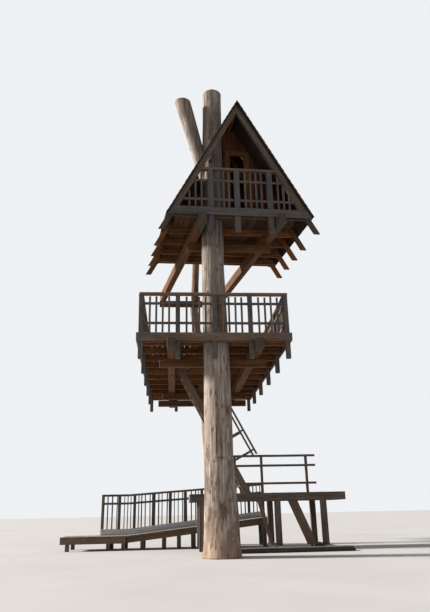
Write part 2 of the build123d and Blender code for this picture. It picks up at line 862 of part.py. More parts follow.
ramp_beam_runs = [
    (ramp_front_y, (ramp_left_x, ramp_bend_x)),
    (rising_beam_y, (ramp_bend_x, ramp_right_x)),
    (far_beam_y, (ramp_left_x, ramp_bend_x, ramp_right_x)),
]
with BuildPart() as ramp_beams:
    for y, xs in ramp_beam_runs:
        with BuildSketch(side_view(y)):
            ramp_strip(xs, ramp_board, ramp_beam_height)
        extrude(amount=-ramp_beam_thick)
finish(ramp_beams, "ramp_beams")

with BuildPart() as ramp_posts:
    for x in ramp_post_xs:
        for y in (ramp_front_y if x < ramp_bend_x else rising_beam_y, far_beam_y):
            with BuildSketch(side_view(y)):
                sides = (x - ramp_post_width / 2, x + ramp_post_width / 2)
                heads = [(u, ramp_top(u) - ramp_board - ramp_beam_height) for u in sides]
                Polygon((sides[0], 0), (sides[1], 0), heads[1], heads[0], align=None)
            extrude(amount=-ramp_beam_thick)
finish(ramp_posts, "ramp_posts")

# Picket fence on the ramp's far side, in a level and a rising stretch
fence_steepness = (fence_high_top - fence_low_top) / (ramp_right_x - ramp_bend_x)
fence_rail_y = ramp_rear_y - fence_post_width


def fence_top(x):
    """Height of the fence's top rail."""
    return fence_low_top + max(0, x - ramp_bend_x) * fence_steepness


fence_runs = [
    ("ramp_fence_level", fence_left_x, ramp_bend_x),
    ("ramp_fence_rising", ramp_bend_x, ramp_right_x),
]
for name, left, right in fence_runs:
    with BuildPart() as fence:
        for drop in (0, fence_rail_drop):
            with BuildSketch(side_view(fence_rail_y)):
                tops = [(left, fence_top(left) - drop), (right, fence_top(right) - drop)]
                Polygon(*tops, *[(x, z - fence_rail_height) for x, z in reversed(tops)], align=None)
            extrude(amount=-fence_rail_thick)
        with BuildSketch(side_view(fence_rail_y - picket_thick - kick_board_thick)):
            ramp_strip((left, right), -kick_board_height, kick_board_height)
        extrude(amount=-kick_board_thick)
        for x in [x for x in fence_post_xs if left < x < right]:
            block(
                x - fence_post_width / 2, x + fence_post_width / 2,
                fence_rail_y, ramp_rear_y,
                ramp_top(x + fence_post_width / 2), fence_top(x) - fence_rail_height / 2,
            )
        picket_count = int((right - left) / picket_pitch)
        for i in range(picket_count):
            x = left + (i + 0.5) * picket_pitch
            block(
                x - picket_width / 2, x + picket_width / 2,
                fence_rail_y - picket_thick, fence_rail_y,
                ramp_top(x + picket_width / 2), fence_top(x) - fence_rail_height / 2,
            )
    finish(fence, name)
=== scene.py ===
import json
import random
from math import ceil, cos, exp, hypot, pi, radians, sin, tan

import bmesh
import bpy
from mathutils import Euler, Matrix, Vector, noise

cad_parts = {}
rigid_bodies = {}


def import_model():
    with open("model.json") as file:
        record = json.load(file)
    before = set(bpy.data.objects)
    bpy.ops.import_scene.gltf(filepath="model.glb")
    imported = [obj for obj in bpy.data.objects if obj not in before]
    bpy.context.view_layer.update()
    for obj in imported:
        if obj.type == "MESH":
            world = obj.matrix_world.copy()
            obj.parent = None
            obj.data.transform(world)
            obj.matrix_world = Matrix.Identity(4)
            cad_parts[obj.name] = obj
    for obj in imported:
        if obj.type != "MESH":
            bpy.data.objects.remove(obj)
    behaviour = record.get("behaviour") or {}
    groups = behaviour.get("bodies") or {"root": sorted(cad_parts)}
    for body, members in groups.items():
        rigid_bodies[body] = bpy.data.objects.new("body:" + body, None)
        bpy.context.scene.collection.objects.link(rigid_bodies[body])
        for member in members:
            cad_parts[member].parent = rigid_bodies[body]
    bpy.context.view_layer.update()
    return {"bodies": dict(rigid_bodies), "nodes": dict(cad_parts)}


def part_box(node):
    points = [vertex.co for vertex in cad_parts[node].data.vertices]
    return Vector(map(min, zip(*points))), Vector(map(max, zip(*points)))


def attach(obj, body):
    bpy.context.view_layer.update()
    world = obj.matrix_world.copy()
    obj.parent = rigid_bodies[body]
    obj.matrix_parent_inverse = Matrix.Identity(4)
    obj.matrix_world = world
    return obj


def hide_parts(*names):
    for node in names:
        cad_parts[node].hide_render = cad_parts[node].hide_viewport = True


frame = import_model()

scene = bpy.context.scene
SEED = 7
random.seed(SEED)
noise.seed_set(SEED)

X = Vector((1, 0, 0))
Y = Vector((0, 1, 0))
Z = Vector((0, 0, 1))

# Camera, where the photograph was taken from
CAMERA_PLACE = (-1.09, -13.5, 1.0)
CAMERA_PITCH = 20.0
CAMERA_PAN = 4.4
CAMERA_ROLL = -1.2
CAMERA_REACH = 300
FOCAL_PIXELS = 560
IMAGE_HEIGHT = 612
SENSOR_HEIGHT = 24.0

# Floor and light
FLOOR_REACH = 120
FILL_STRENGTH = 0.45
SUN_ENERGY = 10.0
SUN_ANGLE = radians(8)
SUN_COLOR = (1.0, 0.95, 0.88)
SUN_TRAVEL = Vector((0.86, -0.14, -0.45))

# Trunks: height, sideways place and radius of each section, from the foot up
TRUNK_SECTIONS = [
    (0.0, 0.0, 0.44),
    (0.3, 0.0, 0.415),
    (0.85, 0.0, 0.40),
    (2.1, -0.035, 0.345),
    (4.9, -0.045, 0.325),
    (6.9, -0.09, 0.305),
    (10.3, -0.045, 0.285),
    (12.6, -0.015, 0.275),
]
REAR_TRUNK_SECTIONS = [
    (0.0, 0.13, 0.235),
    (2.8, 0.06, 0.20),
    (4.4, -0.07, 0.175),
    (7.5, -0.41, 0.135),
    (9.6, -0.32, 0.125),
]
REAR_TRUNK_Y = 4.85
FORK_SECTIONS = [(9.0, -0.065, 0.165), (12.3, -0.885, 0.235)]
TRUNK_RING = 0.03
TRUNK_SIDES = 96
THIN_TRUNK_SIDES = 64

# Unevenness of a trunk: the scale round it and up it, and the depth
BROAD_BUMPS = (3.2, 0.5)
BROAD_BUMP_DEPTH = 0.016
SMALL_BUMPS = (16, 1.6)
SMALL_BUMP_DEPTH = 0.006
SURFACE_INSET = 0.006
BUTTRESS_HEIGHT = 0.35
BUTTRESS_LOBES = 5

# Flakes of bark that are left on a trunk
FLAKES = (7, 1.5)
FLAKE_SHIFT = 9
FLAKE_FROM = 0.32
FLAKE_SHARPNESS = 12
FLAKE_DEPTH = 0.007
FLAKE_DARKNESS = 0.7
FEWEST_FLAKES = 0.15

# Branch scars and cross cracks: height, angle round the trunk from +X in degrees, half width, half height
SCARS = [
    (2.12, 272, 0.15, 0.035),
    (2.04, 250, 0.09, 0.030),
    (2.75, 246, 0.05, 0.09),
    (1.20, 300, 0.07, 0.05),
    (3.30, 285, 0.04, 0.06),
    (3.62, 240, 0.05, 0.13),
    (6.20, 240, 0.05, 0.07),
    (7.00, 320, 0.05, 0.05),
    (0.80, 225, 0.06, 0.07),
    (4.10, 100, 0.08, 0.06),
    (2.70, 60, 0.08, 0.05),
    (5.90, 130, 0.06, 0.06),
    (10.90, 250, 0.05, 0.06),
    (10.10, 258, 0.06, 0.09),
]
REAR_SCARS = [(5.9, 250, 0.05, 0.07), (3.2, 280, 0.06, 0.07)]

# Shape of a scar: places and widths as shares of its half size, depths as shares of the lesser half size
SCAR_REACH = 2.2
SCAR_LIP_HEIGHT = 0.10
SCAR_LIP_PLACE = 1.1
SCAR_LIP_WIDTH = 0.35
SCAR_HOLLOW_DEPTH = 0.22
SCAR_HOLLOW_WIDTH = 0.7
SCAR_DARKNESS = 0.9
SCAR_DARK_WIDTH = 0.8

# Sawn timber: how far its edges are worn
THIN_EDGE = 0.003
WORN_EDGE = 0.005
SIDE_EDGE = 0.006
BEAM_EDGE = 0.007
HEAVY_EDGE = 0.008
BEARER_EDGE = 0.009
DAMP_EDGE = 0.010

# Sawn timber: how a board bends, and how far apart its cuts for that are
BOARD_STEP = 0.35
BOARD_WOBBLE = 0.003
PLANK_WOBBLE = 0.0025
BEND_SCALE = 1.3

# Widths of boards and the gaps between them
DECK_BOARD = 0.145
ROOF_BOARD = 0.17
WALL_BOARD = 0.14
RAMP_BOARD = 0.12
BOARD_GAP = 0.007
WALL_BOARD_GAP = 0.004
ROOF_LAP = 0.012
ROOF_OVERLAP = 0.02

# Ranges for a board's tone, which runs from 0, dark and cool, to 1, light and reddish
ANY_TONE = (0.0, 1.0)
DARKER = (0.0, 0.15)
GREYISH = (0.05, 0.3)
SILVERED = (0.1, 0.35)
BROWN = (0.5, 0.8)
REDDISH = (0.85, 1.0)
TONE_BRIGHTNESS = (0.68, 1.28)

# How widely boards are scattered in the textures, so that no two look alike
GRAIN_SPREAD = 50

# Texture scales along, across and through a board
STREAKS = (1.1, 26, 26)
FINE_GRAIN = (5, 150, 150)
CHECKS = (0.9, 60, 60)
KNOTS = (2.2, 9, 9)

# Texture scales across and up a trunk
BARK_STREAKS = (9, 9, 0.9)
BARK_CLOUDS = (2.2, 2.2, 0.55)
BARK_GRAIN = (55, 55, 5)
BARK_FIBRES = (34, 34, 0.7)
BARK_SPOTS = (5, 5, 1.7)
BARK_PITS = (5, 5, 2.2)
BARK_CHECKS = (20, 20, 0.7)

# Sheltered timber in front of this Y sticks out past the platform and is darker and greyer: grime, with
# painted shade
NOSE_FROM = -0.555

# All wood: how much it shines, how strong and deep its fine relief is, and how rough it is
SHINE = 0.25
BUMP_STRENGTH = 0.7
BOARD_RELIEF = 0.006
BARK_RELIEF = 0.012
END_RELIEF = 0.003
BOARD_ROUGHNESS = (0.92, 0.7)
BARK_ROUGHNESS = (0.95, 0.74)
END_ROUGHNESS = (0.9, 0.75)

# Layers of a timber's colour: where each fades in, as values of a texture, a tone or an upward slope,
# and how far it then covers the layers below it
NOISE_SPREAD = (0.3, 0.7)
FINE_FADE = (0.7, 0.3)
FINE_COVER = 0.22
REDDISH_FADE = (0.55, 1.0)
REDDISH_COVER = 0.75
COOL_FADE = (0.45, 0.05)
COOL_COVER = 0.6
BLOTCH_FADE = (0.5, 0.75)
CHECK_FADE = (0.66, 0.72)
CHECK_COVER = 0.75
KNOT_FADE = (0.16, 0.08)
KNOT_COVER = 0.6
UPWARD_FADE = (0.4, 1.0)
# downward faces: painted shade
DOWNWARD_FADE = (-0.2, -0.4)
NOSE_COVER = 0.8

# Layers of a trunk's colour, in the same way, some of them by height in metres
DARK_FIBRE_FADE = (0.50, 0.36)
DARK_FIBRE_COVER = 0.5
PALE_FIBRE_FADE = (0.54, 0.70)
PALE_FIBRE_COVER = 0.6
CLOUD_FADE = (0.42, 0.68)
CLOUD_COVER = 0.6
BARK_GRAIN_FADE = (0.7, 0.35)
BARK_GRAIN_COVER = 0.35
SPOT_LIMITS = (0.62, 0.495)
SPOT_FADE = (0, 0.03)
SPOT_COVER = 0.75
MOST_SPOTS_AT = 0.3
PIT_COVER = 0.45
FOOT_FADE = (0.9, 0.05)
FOOT_COVER = 0.7
SHADED_HEIGHTS = (2.5, 7.5)
SHADED_LEVELS = (1.1, 0.72)
BARK_CHECK_FADE = (0.62, 0.67)
DIRT_FADE = (0.45, 0.7)
DIRT_COVER = 0.6

# Sockets of a colour mixing node: its factor and two colours, and its result
MIX_INPUTS = (0, 6, 7)
MIX_RESULT = 2

# Mesh cleaning
MERGE_DISTANCE = 1e-5
FLAT_ANGLE = radians(1)
SHARP_ANGLE = radians(30)

# Railings
POST = 0.11
POST_LEAN = 0.006
RAIL_THICK = 0.06
RAIL_DEPTH = 0.13
RAIL_LIP = 0.02
SUB_RAIL_HEIGHT = 0.06
SUB_RAIL_THICK = 0.04
BALUSTER_WIDTH = 0.05
BALUSTER_THICK = 0.025
BALUSTER_PITCH = 0.15
BALUSTER_TOP_GAP = 0.04
BALUSTER_FOOT_GAP = 0.03
BALUSTER_LEAN = 0.006
BALUSTER_FOOT_PLAY = 0.01
BALUSTER_HEAD_PLAY = 0.012
FRONT_BAYS = 4
SIDE_BAYS = 5
LOWER_SUB_RAILS = (0.24, 0.75)
LOWER_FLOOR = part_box("lower_decking")[1].z
STUB_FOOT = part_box("lower_railing_front")[0].z

# Ladder stair: its rise over its run
STAIR_STEEPNESS = 1.891

# Upper platform and its A-frame: the front, the sides and the bearers are turned by different angles
UPPER_YAW = radians(2.5)
SIDE_YAW = radians(8.7)
BEARER_YAW = radians(11)
ALONG_FRONT = Vector((cos(UPPER_YAW), sin(UPPER_YAW), 0))
INWARDS = Vector((-sin(UPPER_YAW), cos(UPPER_YAW), 0))
SIDE_RUN = Vector((-sin(SIDE_YAW), cos(SIDE_YAW), 0))
BEARER_RUN = Vector((-sin(BEARER_YAW), cos(BEARER_YAW), 0))
RIDGE_PLACE = 0.46
PITCH = radians(62)
APEX = 11.68
BARGE_INSIDE = 0.17
BARGE_FRONT = -0.87
UPPER_FLOOR = 8.3
BALCONY_RAIL = 1.22
BALCONY_POSTS = (-0.76, -0.065, 0.81)
BALCONY_POST_WIDTH = 0.15
BALCONY_POST_DEPTH = 0.10
BALCONY_SUB_RAILS = (0.25, 0.82)
BALCONY_STUB_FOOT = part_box("balcony_railing")[0].z

# Ramp's fence: node, height of its top rail and of the ramp at its left and right ends, and its posts
FENCES = [
    ("ramp_fence_level", (1.49, 1.49), (0.37, 0.37), (-3.17, -2.69)),
    (
        "ramp_fence_rising", (1.49, 1.735), (0.37, 0.79),
        (-2.24, -1.69, -1.19, -0.74, -0.24, 0.26, 0.76, 1.18, 1.61),
    ),
]
FENCE_POST = 0.08
FENCE_RAIL = 0.06
FENCE_RAIL_THICK = 0.035
FENCE_RAIL_DROP = 0.23
KICK_BOARD = 0.16
KICK_BOARD_THICK = 0.03
PICKET = 0.035
PICKET_THICK = 0.02
PICKET_PITCH = 0.115
PICKET_LEAN = 0.012
PICKET_HEAD_PLAY = (-0.025, 0.02)
PICKET_WIDTH_SHARES = (0.7, 1.1)
PICKET_PITCH_SHARES = (0.75, 1.25)


# Materials
class Look:
    """A material's nodes, added and linked in short lines."""

    def __init__(self, name):
        self.material = bpy.data.materials.new(name)
        self.material.use_nodes = True
        self.tree = self.material.node_tree
        self.surface = self.tree.nodes["Principled BSDF"]

    def put(self, socket, value):
        """Link a socket to another, or set its value."""
        if isinstance(value, bpy.types.NodeSocket):
            self.tree.links.new(value, socket)
        else:
            socket.default_value = value

    def node(self, kind, out=0, settings=(), **inputs):
        """Add a node and return one of its outputs."""
        made = self.tree.nodes.new(kind)
        for key, value in dict(settings).items():
            setattr(made, key, value)
        for key, value in inputs.items():
            self.put(made.inputs[key.replace("_", " ")], value)
        return made.outputs[out]

    def attribute(self, name, out):
        return self.node("ShaderNodeAttribute", out=out, settings={"attribute_name": name})

    def place(self):
        """Coordinates in the frame that all pieces share."""
        return self.node("ShaderNodeTexCoord", out="Object")

    def scaled(self, vector, scale):
        return self.node("ShaderNodeMapping", Vector=vector, Scale=scale)

    def component(self, vector, axis):
        return self.node("ShaderNodeSeparateXYZ", out=axis, Vector=vector)

    def noise(self, vector, scale=1.0, detail=6.0, roughness=0.6, distortion=0.0):
        return self.node(
            "ShaderNodeTexNoise", Vector=vector, Scale=scale, Detail=detail,
            Roughness=roughness, Distortion=distortion,
        )

    def cells(self, vector):
        """Distance from the nearest of many scattered points."""
        return self.node("ShaderNodeTexVoronoi", Vector=vector, Scale=1.0)

    def span(self, value, source, target=(0.0, 1.0)):
        """Stretch one range of a value to another, and stop at its ends."""
        made = self.tree.nodes.new("ShaderNodeMapRange")
        for index, item in enumerate((value, *source, *target)):
            self.put(made.inputs[index], item)
        return made.outputs[0]

    def math(self, operation, first, second):
        made = self.tree.nodes.new("ShaderNodeMath")
        made.operation = operation
        self.put(made.inputs[0], first)
        self.put(made.inputs[1], second)
        return made.outputs[0]

    def mix(self, factor, first, second, blend="MIX"):
        made = self.tree.nodes.new("ShaderNodeMix")
        made.data_type = "RGBA"
        made.blend_type = blend
        for index, item in zip(MIX_INPUTS, (factor, first, second)):
            self.put(made.inputs[index], item)
        return made.outputs[MIX_RESULT]

    def layer(self, color, value, fade, cover, second):
        """Lay a second colour over a colour, where a value is in or beyond a range."""
        return self.mix(self.span(value, fade, (0, cover)), color, second)

    def cover(self, color, mask, strength, second):
        """Lay a second colour over a colour where a mask is."""
        return self.mix(self.math("MULTIPLY", mask, strength), color, second)

    def dim(self, color, level):
        """Multiply a colour by a level."""
        grey = self.node("ShaderNodeCombineXYZ", X=level, Y=level, Z=level)
        return self.mix(1.0, color, grey, "MULTIPLY")

    def ramp(self, value, *stops):
        """Colours at places along a value's range."""
        made = self.tree.nodes.new("ShaderNodeValToRGB")
        points = made.color_ramp.elements
        while len(points) < len(stops):
            points.new(0.5)
        for point, (place, color) in zip(points, stops):
            point.position = place
            point.color = color
        self.put(made.inputs[0], value)
        return made.outputs[0]

    def finish(self, color, roughness, height, depth):
        """Link what was made to the surface, with a relief of a depth, and return the material."""
        self.surface.inputs["Specular IOR Level"].default_value = SHINE
        self.put(self.surface.inputs["Base Color"], color)
        self.put(self.surface.inputs["Roughness"], roughness)
        bump = self.node("ShaderNodeBump", Strength=BUMP_STRENGTH, Distance=depth, Height=height)
        self.put(self.surface.inputs["Normal"], bump)
        return self.material


def tint(red, green, blue):
    return (red, green, blue, 1.0)


CHECK_COLOR = tint(0.02, 0.015, 0.012)
DIRT_COLOR = tint(0.22, 0.19, 0.16)
SILVER = tint(0.30, 0.29, 0.28)
FILL_COLOR = tint(0.97, 0.97, 1.0)
BACKDROP_COLOR = tint(0.86, 0.88, 0.90)
FLOOR_DARK = tint(0.36, 0.355, 0.35)
FLOOR_PALE = tint(0.40, 0.395, 0.39)


def weather_and_shade(look, color, dark, bleach, under, nose):
    """Silver a timber's upward faces by weathering, darken its downward ones as painted shade, and darken
    what sticks out in front with grime and painted shade.
    """
    if bleach:
        upward = look.component(look.node("ShaderNodeNewGeometry", out="Normal"), "Z")
        color = look.layer(color, upward, UPWARD_FADE, bleach, SILVER)
        # painted shade: downward faces are darkened towards the dark colour
        color = look.layer(color, upward, DOWNWARD_FADE, under, dark)
    if nose:
        # grime with painted shade: the front ends that stick out are darkened
        outside = look.math("LESS_THAN", look.component(look.place(), "Y"), NOSE_FROM)
        color = look.cover(color, outside, NOSE_COVER, nose)
    return color


def timber(name, dark, plain, pale, other, bleach=0.0, stain=0.6, under=0.0, cool=None, nose=None):
    """Sawn timber: streaks along each board, a tone and hue for each board, stains, checks and knots."""
    look = Look(name)
    grain = look.attribute("grain", "Vector")
    tone = look.attribute("tone", "Fac")
    streaks = look.noise(look.scaled(grain, STREAKS), detail=8, roughness=0.68, distortion=0.5)
    fine = look.noise(look.scaled(grain, FINE_GRAIN), detail=4)
    color = look.ramp(streaks, (0.28, dark), (0.5, plain), (0.74, pale))
    color = look.layer(color, tone, REDDISH_FADE, REDDISH_COVER, other)
    if cool:
        color = look.layer(color, tone, COOL_FADE, COOL_COVER, cool)
    color = look.layer(color, fine, FINE_FADE, FINE_COVER, dark)
    blotches = look.noise(look.place(), scale=1.7, detail=5, roughness=0.65)
    color = look.layer(color, blotches, BLOTCH_FADE, stain, dark)
    checks = look.noise(look.scaled(grain, CHECKS), detail=3, roughness=0.5)
    check = look.span(checks, CHECK_FADE)
    color = look.cover(color, check, CHECK_COVER, CHECK_COLOR)
    color = look.layer(color, look.cells(look.scaled(grain, KNOTS)), KNOT_FADE, KNOT_COVER, dark)
    color = look.dim(color, look.span(tone, ANY_TONE, TONE_BRIGHTNESS))
    color = weather_and_shade(look, color, dark, bleach, under, nose)
    rough = look.span(streaks, NOISE_SPREAD, BOARD_ROUGHNESS)
    relief = look.math("ADD", streaks, look.math("MULTIPLY", fine, 0.4))
    return look.finish(color, rough, look.math("SUBTRACT", relief, check), BOARD_RELIEF)


def bark_material(name, pale, plain, patch, crack, foot, bare, smooth_from):
    """Debarked trunk: upright streaks and checks, with patches of bark, more of them near the foot."""
    look = Look(name)
    place = look.place()
    streaks = look.noise(look.scaled(place, BARK_STREAKS), detail=8, roughness=0.7, distortion=0.3)
    fibres = look.noise(look.scaled(place, BARK_FIBRES), roughness=0.7, distortion=0.2)
    clouds = look.noise(look.scaled(place, BARK_CLOUDS), detail=5)
    fine = look.noise(look.scaled(place, BARK_GRAIN), detail=4)
    color = look.ramp(streaks, (0.32, patch), (0.45, plain), (0.56, pale), (0.72, bare))
    color = look.layer(color, fibres, DARK_FIBRE_FADE, DARK_FIBRE_COVER, patch)
    color = look.layer(color, fibres, PALE_FIBRE_FADE, PALE_FIBRE_COVER, bare)
    color = look.layer(color, clouds, CLOUD_FADE, CLOUD_COVER, plain)
    color = look.layer(color, fine, BARK_GRAIN_FADE, BARK_GRAIN_COVER, patch)
    height = look.component(place, "Z")
    spots = look.noise(look.scaled(place, BARK_SPOTS), detail=8, roughness=0.7)
    limit = look.span(height, (smooth_from, MOST_SPOTS_AT), SPOT_LIMITS)
    color = look.layer(color, look.math("SUBTRACT", spots, limit), SPOT_FADE, SPOT_COVER, patch)
    color = look.layer(color, look.cells(look.scaled(place, BARK_PITS)), KNOT_FADE, PIT_COVER, crack)
    color = look.mix(look.attribute("bark", "Fac"), color, patch)
    color = look.layer(color, height, FOOT_FADE, FOOT_COVER, foot)
    color = look.dim(color, look.span(height, SHADED_HEIGHTS, SHADED_LEVELS))
    checks = look.noise(look.scaled(place, BARK_CHECKS), detail=3, roughness=0.5)
    check = look.span(checks, BARK_CHECK_FADE)
    color = look.cover(color, check, CHECK_COVER, crack)
    rough = look.span(streaks, NOISE_SPREAD, BARK_ROUGHNESS)
    relief = look.math("ADD", streaks, look.math("MULTIPLY", fine, 0.5))
    return look.finish(color, rough, look.math("SUBTRACT", relief, check), BARK_RELIEF)


def sawn_end():
    """Sawn end of a trunk: growth rings and dirt."""
    look = Look("sawn_end")
    grain = look.attribute("grain", "Vector")
    rings = look.node(
        "ShaderNodeTexWave", Vector=grain, Scale=18.0, Distortion=3.0, Detail=3.0,
        settings={"wave_type": "RINGS", "rings_direction": "Z"},
    )
    color = look.ramp(rings, (0.2, tint(0.26, 0.17, 0.10)), (0.8, tint(0.50, 0.38, 0.25)))
    dirt = look.noise(grain, scale=9.0)
    color = look.layer(color, dirt, DIRT_FADE, DIRT_COVER, DIRT_COLOR)
    return look.finish(color, look.span(dirt, NOISE_SPREAD, END_ROUGHNESS), rings, END_RELIEF)


TIMBERS = {
    "weathered_timber": dict(
        dark=tint(0.034, 0.026, 0.020), plain=tint(0.110, 0.088, 0.070),
        pale=tint(0.225, 0.190, 0.160), other=tint(0.130, 0.078, 0.048),
        bleach=0.45, cool=tint(0.125, 0.132, 0.155),
    ),
    "bleached_timber": dict(
        dark=tint(0.300, 0.295, 0.290), plain=tint(0.560, 0.560, 0.560),
        pale=tint(0.700, 0.700, 0.700), other=tint(0.540, 0.530, 0.520), stain=0.2,
    ),
    "sheltered_timber": dict(
        dark=tint(0.044, 0.018, 0.006), plain=tint(0.150, 0.060, 0.019),
        pale=tint(0.310, 0.138, 0.050), other=tint(0.190, 0.073, 0.021),
        # nose: grime with painted shade on the front ends
        nose=tint(0.050, 0.050, 0.038),
    ),
    "decking": dict(
        dark=tint(0.024, 0.010, 0.005), plain=tint(0.068, 0.029, 0.015),
        pale=tint(0.140, 0.070, 0.040), other=tint(0.085, 0.033, 0.015), bleach=0.75,
    ),
    "roof_boards": dict(
        dark=tint(0.022, 0.012, 0.008), plain=tint(0.055, 0.030, 0.020),
        pale=tint(0.110, 0.070, 0.050), other=tint(0.070, 0.034, 0.019),
        # under: painted shade on the downward faces of the boards
        bleach=0.15, under=0.8,
    ),
    "cabin_boards": dict(
        dark=tint(0.024, 0.007, 0.004), plain=tint(0.068, 0.021, 0.012),
        pale=tint(0.120, 0.044, 0.025), other=tint(0.085, 0.026, 0.013),
    ),
    "door_timber": dict(
        dark=tint(0.065, 0.026, 0.011), plain=tint(0.160, 0.068, 0.026),
        pale=tint(0.270, 0.130, 0.052), other=tint(0.190, 0.076, 0.028),
    ),
    "ground_timber": dict(
        dark=tint(0.022, 0.018, 0.015), plain=tint(0.060, 0.048, 0.040),
        pale=tint(0.130, 0.108, 0.092), other=tint(0.078, 0.052, 0.036), bleach=0.2,
    ),
}
BARKS = {
    "trunk": dict(
        pale=tint(0.395, 0.340, 0.295), plain=tint(0.235, 0.190, 0.158),
        patch=tint(0.085, 0.054, 0.038), crack=tint(0.018, 0.012, 0.010),
        foot=tint(0.240, 0.160, 0.112), bare=tint(0.66, 0.61, 0.55), smooth_from=5.6,
    ),
    "rear_trunk": dict(
        pale=tint(0.340, 0.220, 0.155), plain=tint(0.190, 0.108, 0.070),
        patch=tint(0.070, 0.035, 0.022), crack=tint(0.020, 0.012, 0.010),
        foot=tint(0.110, 0.070, 0.050), bare=tint(0.58, 0.49, 0.41), smooth_from=9.0,
    ),
}
MATERIALS = {name: timber(name, **colors) for name, colors in TIMBERS.items()}
MATERIALS.update({name: bark_material(name, **colors) for name, colors in BARKS.items()})
SAWN_END = sawn_end()


# Pieces
BODY = next(iter(frame["bodies"]))


def place_piece(name, mesh, node_names):
    """Put a mesh in the scene as a piece of the object, in place of the named CAD nodes."""
    piece = bpy.data.objects.new(name, mesh)
    scene.collection.objects.link(piece)
    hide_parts(*node_names)
    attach(piece, BODY)


def play(amount):
    """Random shift, by up to an amount either way."""
    return random.uniform(-amount, amount)


# Boards
class Boards:
    """Boards of one piece, gathered as plain mesh data with each board's grain and tone."""

    def __init__(self):
        self.points = []
        self.faces = []
        self.grain = []
        self.tone = []

    def take(self, bm, along, across, edge=WORN_EDGE, wobble=BOARD_WOBBLE, tones=ANY_TONE):
        """Add one board: wear its edges, bend it slightly and store its grain."""
        normal = along.cross(across).normalized()
        bmesh.ops.remove_doubles(bm, verts=bm.verts, dist=MERGE_DISTANCE)
        bmesh.ops.dissolve_limit(bm, angle_limit=FLAT_ANGLE, verts=bm.verts, edges=bm.edges)
        sharp = [line for line in bm.edges if line.is_manifold and line.calc_face_angle() > SHARP_ANGLE]
        bmesh.ops.bevel(
            bm, geom=sharp, offset=edge, segments=1, profile=0.5, affect="EDGES", clamp_overlap=True,
        )
        cut_across(bm, along)
        start = Vector([random.uniform(0, GRAIN_SPREAD) for _ in range(3)])
        tone = random.uniform(*tones)
        first = len(self.points)
        bm.verts.index_update()
        for vertex in bm.verts:
            local = Vector((vertex.co.dot(along), vertex.co.dot(across), vertex.co.dot(normal)))
            self.grain.append(local + start)
            self.tone.append(tone)
            bend = noise.noise_vector(local * BEND_SCALE + start) * wobble
            self.points.append(vertex.co + bend)
        for face in bm.faces:
            self.faces.append([first + vertex.index for vertex in face.verts])
        bm.free()

    def stick(self, start, end, across, width, depth, cuts=(), **wear):
        """Straight board between two points, with its width along a direction, cut by planes."""
        along = (end - start).normalized()
        side = (across - along * across.dot(along)).normalized()
        up = along.cross(side)
        bm = bmesh.new()
        bmesh.ops.create_cube(bm, size=1.0)
        length = (end - start).length
        place = Matrix((along * length, side * width, up * depth)).transposed().to_4x4()
        place.translation = (start + end) / 2
        bmesh.ops.transform(bm, matrix=place, verts=bm.verts)
        for point, direction in cuts:
            cut_off(bm, point, direction)
        self.take(bm, along, side, **wear)

    def build(self, name, material, node_names):
        """Make the piece, which stands for the named CAD nodes."""
        mesh = bpy.data.meshes.new(name)
        mesh.from_pydata(self.points, [], self.faces)
        grain = mesh.attributes.new("grain", "FLOAT_VECTOR", "POINT")
        grain.data.foreach_set("vector", [number for vector in self.grain for number in vector])
        tone = mesh.attributes.new("tone", "FLOAT", "POINT")
        tone.data.foreach_set("value", self.tone)
        mesh.materials.append(MATERIALS[material])
        place_piece(name, mesh, node_names)


def everything(bm):
    return list(bm.verts) + list(bm.edges) + list(bm.faces)


def cut_across(bm, along):
    """Cut a board's faces at even steps along it, so that it can bend."""
    places = [vertex.co.dot(along) for vertex in bm.verts]
    low, high = min(places), max(places)
    steps = max(1, ceil((high - low) / BOARD_STEP))
    for i in range(1, steps):
        at = along * (low + (high - low) * i / steps)
        bmesh.ops.bisect_plane(bm, geom=everything(bm), plane_co=at, plane_no=along)


def cut_off(bm, point, direction):
    """Cut away what lies beyond a plane, and close the cut."""
    bmesh.ops.bisect_plane(bm, geom=everything(bm), plane_co=point, plane_no=direction, clear_outer=True)
    open_edges = [edge for edge in bm.edges if edge.is_boundary]
    if open_edges:
        bmesh.ops.holes_fill(bm, edges=open_edges, sides=0)


def joined_to(seed, seen):
    """Vertices that edges join to a seed, with all of them noted as seen."""
    group = []
    stack = [seed]
    seen.add(seed)
    while stack:
        vertex = stack.pop()
        group.append(vertex)
        for edge in vertex.link_edges:
            other = edge.other_vert(vertex)
            if other not in seen:
                seen.add(other)
                stack.append(other)
    return group


def solids(node):
    """Each separate solid of a CAD node, as a bmesh of its own."""
    whole = bmesh.new()
    whole.from_mesh(frame["nodes"][node].data)
    bmesh.ops.remove_doubles(whole, verts=whole.verts, dist=MERGE_DISTANCE)
    seen = set()
    for seed in whole.verts:
        if seed in seen:
            continue
        group = joined_to(seed, seen)
        part = bmesh.new()
        made = {vertex: part.verts.new(vertex.co) for vertex in group}
        for face in dict.fromkeys(face for vertex in group for face in vertex.link_faces):
            part.faces.new([made[vertex] for vertex in face.verts])
        yield part
    whole.free()


def dress(node, along, across, slot, **wear):
    """Each solid of a node as one board with worn edges and its own grain."""
    boards = Boards()
    for part in solids(node):
        boards.take(part, along, across, **wear)
    boards.build(f"{node}_timber", slot, [node])


def lap_over(strip, along, angle):
    """Turn a board about its middle, so that it laps over the next."""
    middle = sum((vertex.co for vertex in strip.verts), Vector()) / len(strip.verts)
    turn = Matrix.Rotation(-angle, 4, along)
    move = Matrix.Translation(middle) @ turn @ Matrix.Translation(-middle)
    bmesh.ops.transform(strip, matrix=move, verts=strip.verts)


